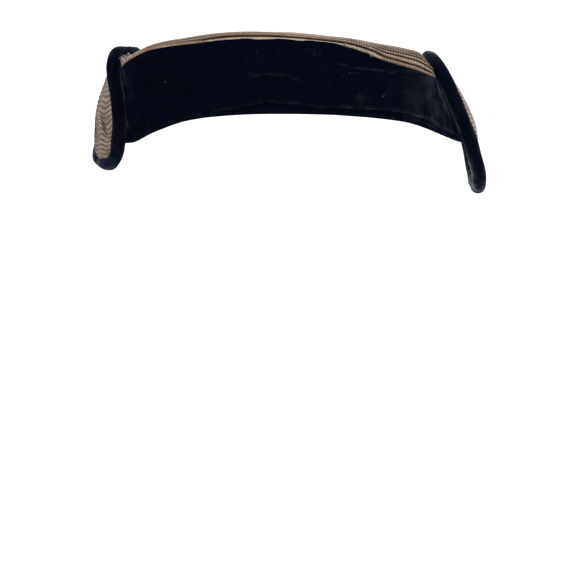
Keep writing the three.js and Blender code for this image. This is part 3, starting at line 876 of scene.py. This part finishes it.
def wing_cover(name, wing):
    """A cover of narrow tucks: their rows raised outwards from the padded panel along its normal, shifted
    by the tuck lines, and level with the panel at the sewn edge, over a plain back."""
    rng = np.random.default_rng(20 + wing["seed"])
    table = wing["table"]
    height = table["middle_z"][-1] - table["middle_z"][0] - 2 * SEWN_IN
    count = round(height / TUCK_PITCH)
    a = np.linspace(-1, 1, WING_COLUMNS)
    places, rise, tone, silk_at = tuck_rows(
        rng, a * HALF_WIDTH, count, TUCK_PITCH, wing["tuck"], TUCK_UNDERCUT, wing["dark"], TUCK_STRAY
    )
    q = 2 * np.clip(places / count, 0, 1) - 1
    a = np.broadcast_to(a, q.shape)
    q = np.clip(q + tuck_lines(wing, a, q), -1, 1)
    outer = wing_base(wing, HALF_PANEL + COVER_WALL - 0.5 * wing["tuck"], wing["pad"])
    swell = 1 + waves(rng, a * HALF_WIDTH + q * TUCK_SWELL_LEAN, *TUCK_SWELL)
    top = raised(outer, a, q, rise * swell * (1 - np.maximum(a**12, q**12)) * -wing["side"])
    even = np.broadcast_to(np.linspace(-1, 1, len(q))[:, None], q.shape)
    bottom = wing_base(wing, HALF_PANEL, 0)(a, even)
    # Painted shade in the gaps between the tucks, widened by the power, and a little of it on every tuck.
    tones = np.broadcast_to(mix(0.06, 1, tone**0.7)[:, None], q.shape)
    return silk_sheet(name + "_wing_silk", top, bottom, COVER_STRETCH * top[..., 1], silk_at, tones)


FACING_ROWS = 90
FACING_WAVES = (0.2, 24)


def wing_facing(name, wing):
    """A flat lining of velvet: a grid over the panel, raised inwards by slow waves that end at its edge."""
    even = np.linspace(-1, 1, FACING_ROWS)
    a, q = np.meshgrid(even, even)
    rng = np.random.default_rng(30 + wing["seed"])
    relief = waves(rng, a * 30 + q * 12, *FACING_WAVES) * (1 - np.maximum(a**6, q**6))
    inner = wing_base(wing, -HALF_PANEL - FACING_WALL, 0)
    top = raised(inner, a, q, relief * wing["side"])
    bottom = wing_base(wing, -HALF_PANEL, 0)(a, q)
    points, faces = slab(top, bottom)
    # Painted light: the velvet is lighter over the whole facing, and more where its waves stand out.
    tone = np.concatenate([0.3 + relief.ravel(), np.zeros(relief.size)])
    return make_piece(name + "_wing_velvet", points, faces, [velvet], tone=tone)


ROLL_ROWS = 440
ROLL_SIDES = 40
STRETCH_STEPS = 40  # on each stretch of the roll's centre line
PUCKERS = 46  # round the whole roll
PUCKER_HEIGHT = 0.17
SEAM_DEPTH = 0.5


def closed_line(corners, count):
    """Evenly spaced points of a closed line through given ones. Each stretch is a cubic, whose slopes weigh
    the neighbours by the square roots of the distances to them."""
    p0, p1, p2, p3 = (np.roll(corners, k, axis=0) for k in (1, 0, -1, -2))
    d0, d1, d2 = (
        np.sqrt(np.linalg.norm(b - a, axis=1, keepdims=True)) for a, b in ((p0, p1), (p1, p2), (p2, p3))
    )
    start = ((p1 - p0) / d0 - (p2 - p0) / (d0 + d1) + (p2 - p1) / d1) * d1
    end = ((p2 - p1) / d1 - (p3 - p1) / (d1 + d2) + (p3 - p2) / d2) * d1
    t = (np.arange(STRETCH_STEPS) / STRETCH_STEPS)[None, :, None]
    p1, p2, start, end = (v[:, None, :] for v in (p1, p2, start, end))
    line = (
        (2 * t**3 - 3 * t**2 + 1) * p1 + (t**3 - 2 * t**2 + t) * start
        + (3 * t**2 - 2 * t**3) * p2 + (t**3 - t**2) * end
    ).reshape(-1, 3)
    line = np.concatenate([line, line[:1]])
    length = np.concatenate([[0], np.cumsum(np.linalg.norm(np.diff(line, axis=0), axis=1))])
    places = np.arange(count) / count * length[-1]
    return np.stack([np.interp(places, length, line[:, k]) for k in range(3)], -1), places


def wing_roll(name, wing):
    """Velvet sewn over a cord: a tube along the panel's edge, drawn in where it is sewn on, uneven by a few
    sines of random phase, with short puckers that fade out towards its outer side."""
    table = wing["table"]
    front, back = (
        np.stack([table[part + key] for key in ("_x", "_y", "_z")], -1) for part in ("front", "back")
    )
    centre, places = closed_line(np.concatenate([front, back[::-1]]).astype(float), ROLL_ROWS)
    centre = centre + np.array([0, 0, LIFT])
    onward = unit(np.roll(centre, -1, axis=0) - np.roll(centre, 1, axis=0))
    inward = unit(np.cross(onward, [wing["side"], 0.0, 0.0]))
    inward *= np.sign(((centre.mean(0) - centre) * inward).sum())
    sideways = np.cross(onward, inward)
    turn = (np.arange(ROLL_SIDES) / ROLL_SIDES * 2 * np.pi)[None, :]
    rng = np.random.default_rng(40 + wing["seed"])
    around = places[:, None] / places[-1] * 2 * np.pi
    uneven = sum(
        rng.uniform(0.02, 0.06) * np.sin(around * k + turn * rng.integers(-1, 2) + rng.uniform(0, 6.3))
        for k in (2, 3, 5, 7, 9, 14)
    )
    near_seam = np.clip(np.cos(turn), 0, 1)
    puckers = np.sin(around * PUCKERS + 2.5 * np.sin(around * 5) + 1.6 * turn) * near_seam**2
    radius = ROLL_RADIUS * (1 + 0.5 * uneven) + PUCKER_HEIGHT * puckers - SEAM_DEPTH * near_seam**8
    lower = smooth(-45, -62, centre[:, 2:3])
    to_the_right = sideways[:, 0:1] * np.sin(turn) + inward[:, 0:1] * np.cos(turn)
    to_the_top = inward[:, 2:3] * np.cos(turn) + sideways[:, 2:3] * np.sin(turn)
    facing_side = smooth(-0.2, 0.8, -wing["side"] * to_the_right)
    # Painted light and shade on the roll: lighter over it all, on the puckers' crests, its bulges and its
    # top, darker in the seam, and low on the side that faces the head by the wing's own share.
    tone = 0.2 + 0.25 * puckers - 0.25 * near_seam**8 + 0.5 * uneven
    tone = tone + wing["low_painted_light"] * lower * facing_side + 0.1 * smooth(0.1, 1, to_the_top)
    rows = (
        centre[:, None, :]
        + inward[:, None, :] * (radius * np.cos(turn))[..., None]
        + sideways[:, None, :] * (radius * np.sin(turn))[..., None]
    )
    faces = quads(ROLL_ROWS + 1, ROLL_SIDES, ring=True) % (ROLL_ROWS * ROLL_SIDES)
    return make_piece(name + "_roll_velvet", rows.reshape(-1, 3), faces, [velvet], tone=tone.ravel())


for name, wing in WINGS.items():
    cover = wing_cover(name, wing)
    facing = wing_facing(name, wing)
    roll = wing_roll(name, wing)
    pieces = [(cover, "cover", "silk"), (facing, "facing", "velvet"), (roll, "roll", "velvet")]
    for piece, node, slot in pieces:
        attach(piece, "root")
        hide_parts(name + "_wing_" + node)


# Setting
# The hat is held in the air as a head would hold it, over a pale floor that rises into a round wall behind
# it. Wide soft lights stand in front, above, to the right and behind.

CAMERA_DISTANCE = 1000.0
CAMERA_YAW = math.radians(3)
CAMERA_RISE = math.radians(0.5)
CAMERA_ROLL = math.radians(2)
CAMERA_AIM = Vector((5.477, 0, -137.648))
CAMERA_DROP = Vector((0, 0, -2.5))
SENSOR = 36
LENS_IN_PIXELS = 1800
FRAME_IN_PIXELS = 580

data = bpy.data.cameras.new("camera")
data.sensor_width = SENSOR
data.lens = LENS_IN_PIXELS / FRAME_IN_PIXELS * SENSOR
camera = bpy.data.objects.new("camera", data)
bpy.context.scene.collection.objects.link(camera)
out_from_hat = Vector((
    math.sin(CAMERA_YAW) * math.cos(CAMERA_RISE),
    -math.cos(CAMERA_YAW) * math.cos(CAMERA_RISE),
    math.sin(CAMERA_RISE),
))
place = CAMERA_DISTANCE * out_from_hat + CAMERA_DROP
forward = (CAMERA_AIM - place).normalized()
level_right = forward.cross(Vector((0, 0, 1))).normalized()
level_up = level_right.cross(forward)
right = level_right * math.cos(CAMERA_ROLL) + level_up * math.sin(CAMERA_ROLL)
up = level_up * math.cos(CAMERA_ROLL) - level_right * math.sin(CAMERA_ROLL)
camera.matrix_world = Matrix.Translation(place * MM) @ Matrix((right, up, -forward)).transposed().to_4x4()
bpy.context.scene.camera = camera

FLOOR_DEPTH = -900.0
FLOOR_RADIUS = 1900.0
SWEEP_RADIUS = 900.0
WALL_TOP = 2600.0
BOWL_COLUMNS = 96
SWEEP_ROWS = 14


def painted_board():
    """Matt white paint on board: no gloss, and very slightly warm."""
    m = new_material("matt white paint")
    surface = add(m, "BsdfPrincipled", {
        "Base Color": linear("f4f3f1"), "Roughness": 0.9, "Specular IOR Level": 0.1,
        "Emission Color": linear("ffffff"), "Emission Strength": 0.3,
    })
    add(m, "OutputMaterial", {"Surface": surface})
    return m


def studio_bowl():
    """A round floor that turns up into a round wall: a profile of a flat, a quarter circle and an upright,
    spun about the middle, with its faces turned inwards."""
    turn = np.linspace(0, np.pi / 2, SWEEP_ROWS)
    outer = FLOOR_RADIUS + SWEEP_RADIUS
    radius = np.concatenate([[0.001], FLOOR_RADIUS + SWEEP_RADIUS * np.sin(turn), [outer]])[:, None]
    height = np.concatenate([[0.0], SWEEP_RADIUS * (1 - np.cos(turn)), [WALL_TOP]]) + FLOOR_DEPTH
    angle = np.arange(BOWL_COLUMNS) / BOWL_COLUMNS * 2 * np.pi
    heights = np.repeat(height[:, None], BOWL_COLUMNS, 1)
    rows = np.stack([radius * np.cos(angle), radius * np.sin(angle), heights], -1)
    faces = quads(*rows.shape[:2], ring=True)[:, ::-1]
    mesh = bpy.data.meshes.new("studio_floor")
    mesh.from_pydata((rows * MM).reshape(-1, 3).tolist(), [], faces.tolist())
    mesh.polygons.foreach_set("use_smooth", np.ones(len(mesh.polygons), bool))
    mesh.materials.append(painted_board())
    made = bpy.data.objects.new("studio_floor", mesh)
    bpy.context.scene.collection.objects.link(made)
    return made


studio_bowl()

LIGHTS = [
    {"name": "front", "at": (-600, -1500, 800), "size": 900, "watts": 14, "colour": "fffaf3"},
    {"name": "above", "at": (150, -200, 1300), "size": 900, "watts": 13, "colour": "ffffff"},
    {"name": "right", "at": (1300, -700, 600), "size": 600, "watts": 15, "colour": "f3f7ff"},
    {"name": "back", "at": (-300, 1400, 900), "size": 1000, "watts": 5, "colour": "ffffff"},
]
for row in LIGHTS:
    lamp = bpy.data.lights.new(row["name"], "AREA")
    lamp.size = row["size"] * MM
    lamp.energy = row["watts"]
    lamp.color = linear(row["colour"])[:3]
    light = bpy.data.objects.new(row["name"], lamp)
    light.location = Vector(row["at"]) * MM
    light.rotation_euler = (-light.location).to_track_quat("-Z", "Y").to_euler()
    bpy.context.scene.collection.objects.link(light)

world = bpy.data.worlds.new("soft white room")
world.use_nodes = True
world.node_tree.nodes["Background"].inputs["Color"].default_value = linear("fbfbfc")
world.node_tree.nodes["Background"].inputs["Strength"].default_value = 0.35
bpy.context.scene.world = world
bpy.context.scene.view_settings.view_transform = "Standard"
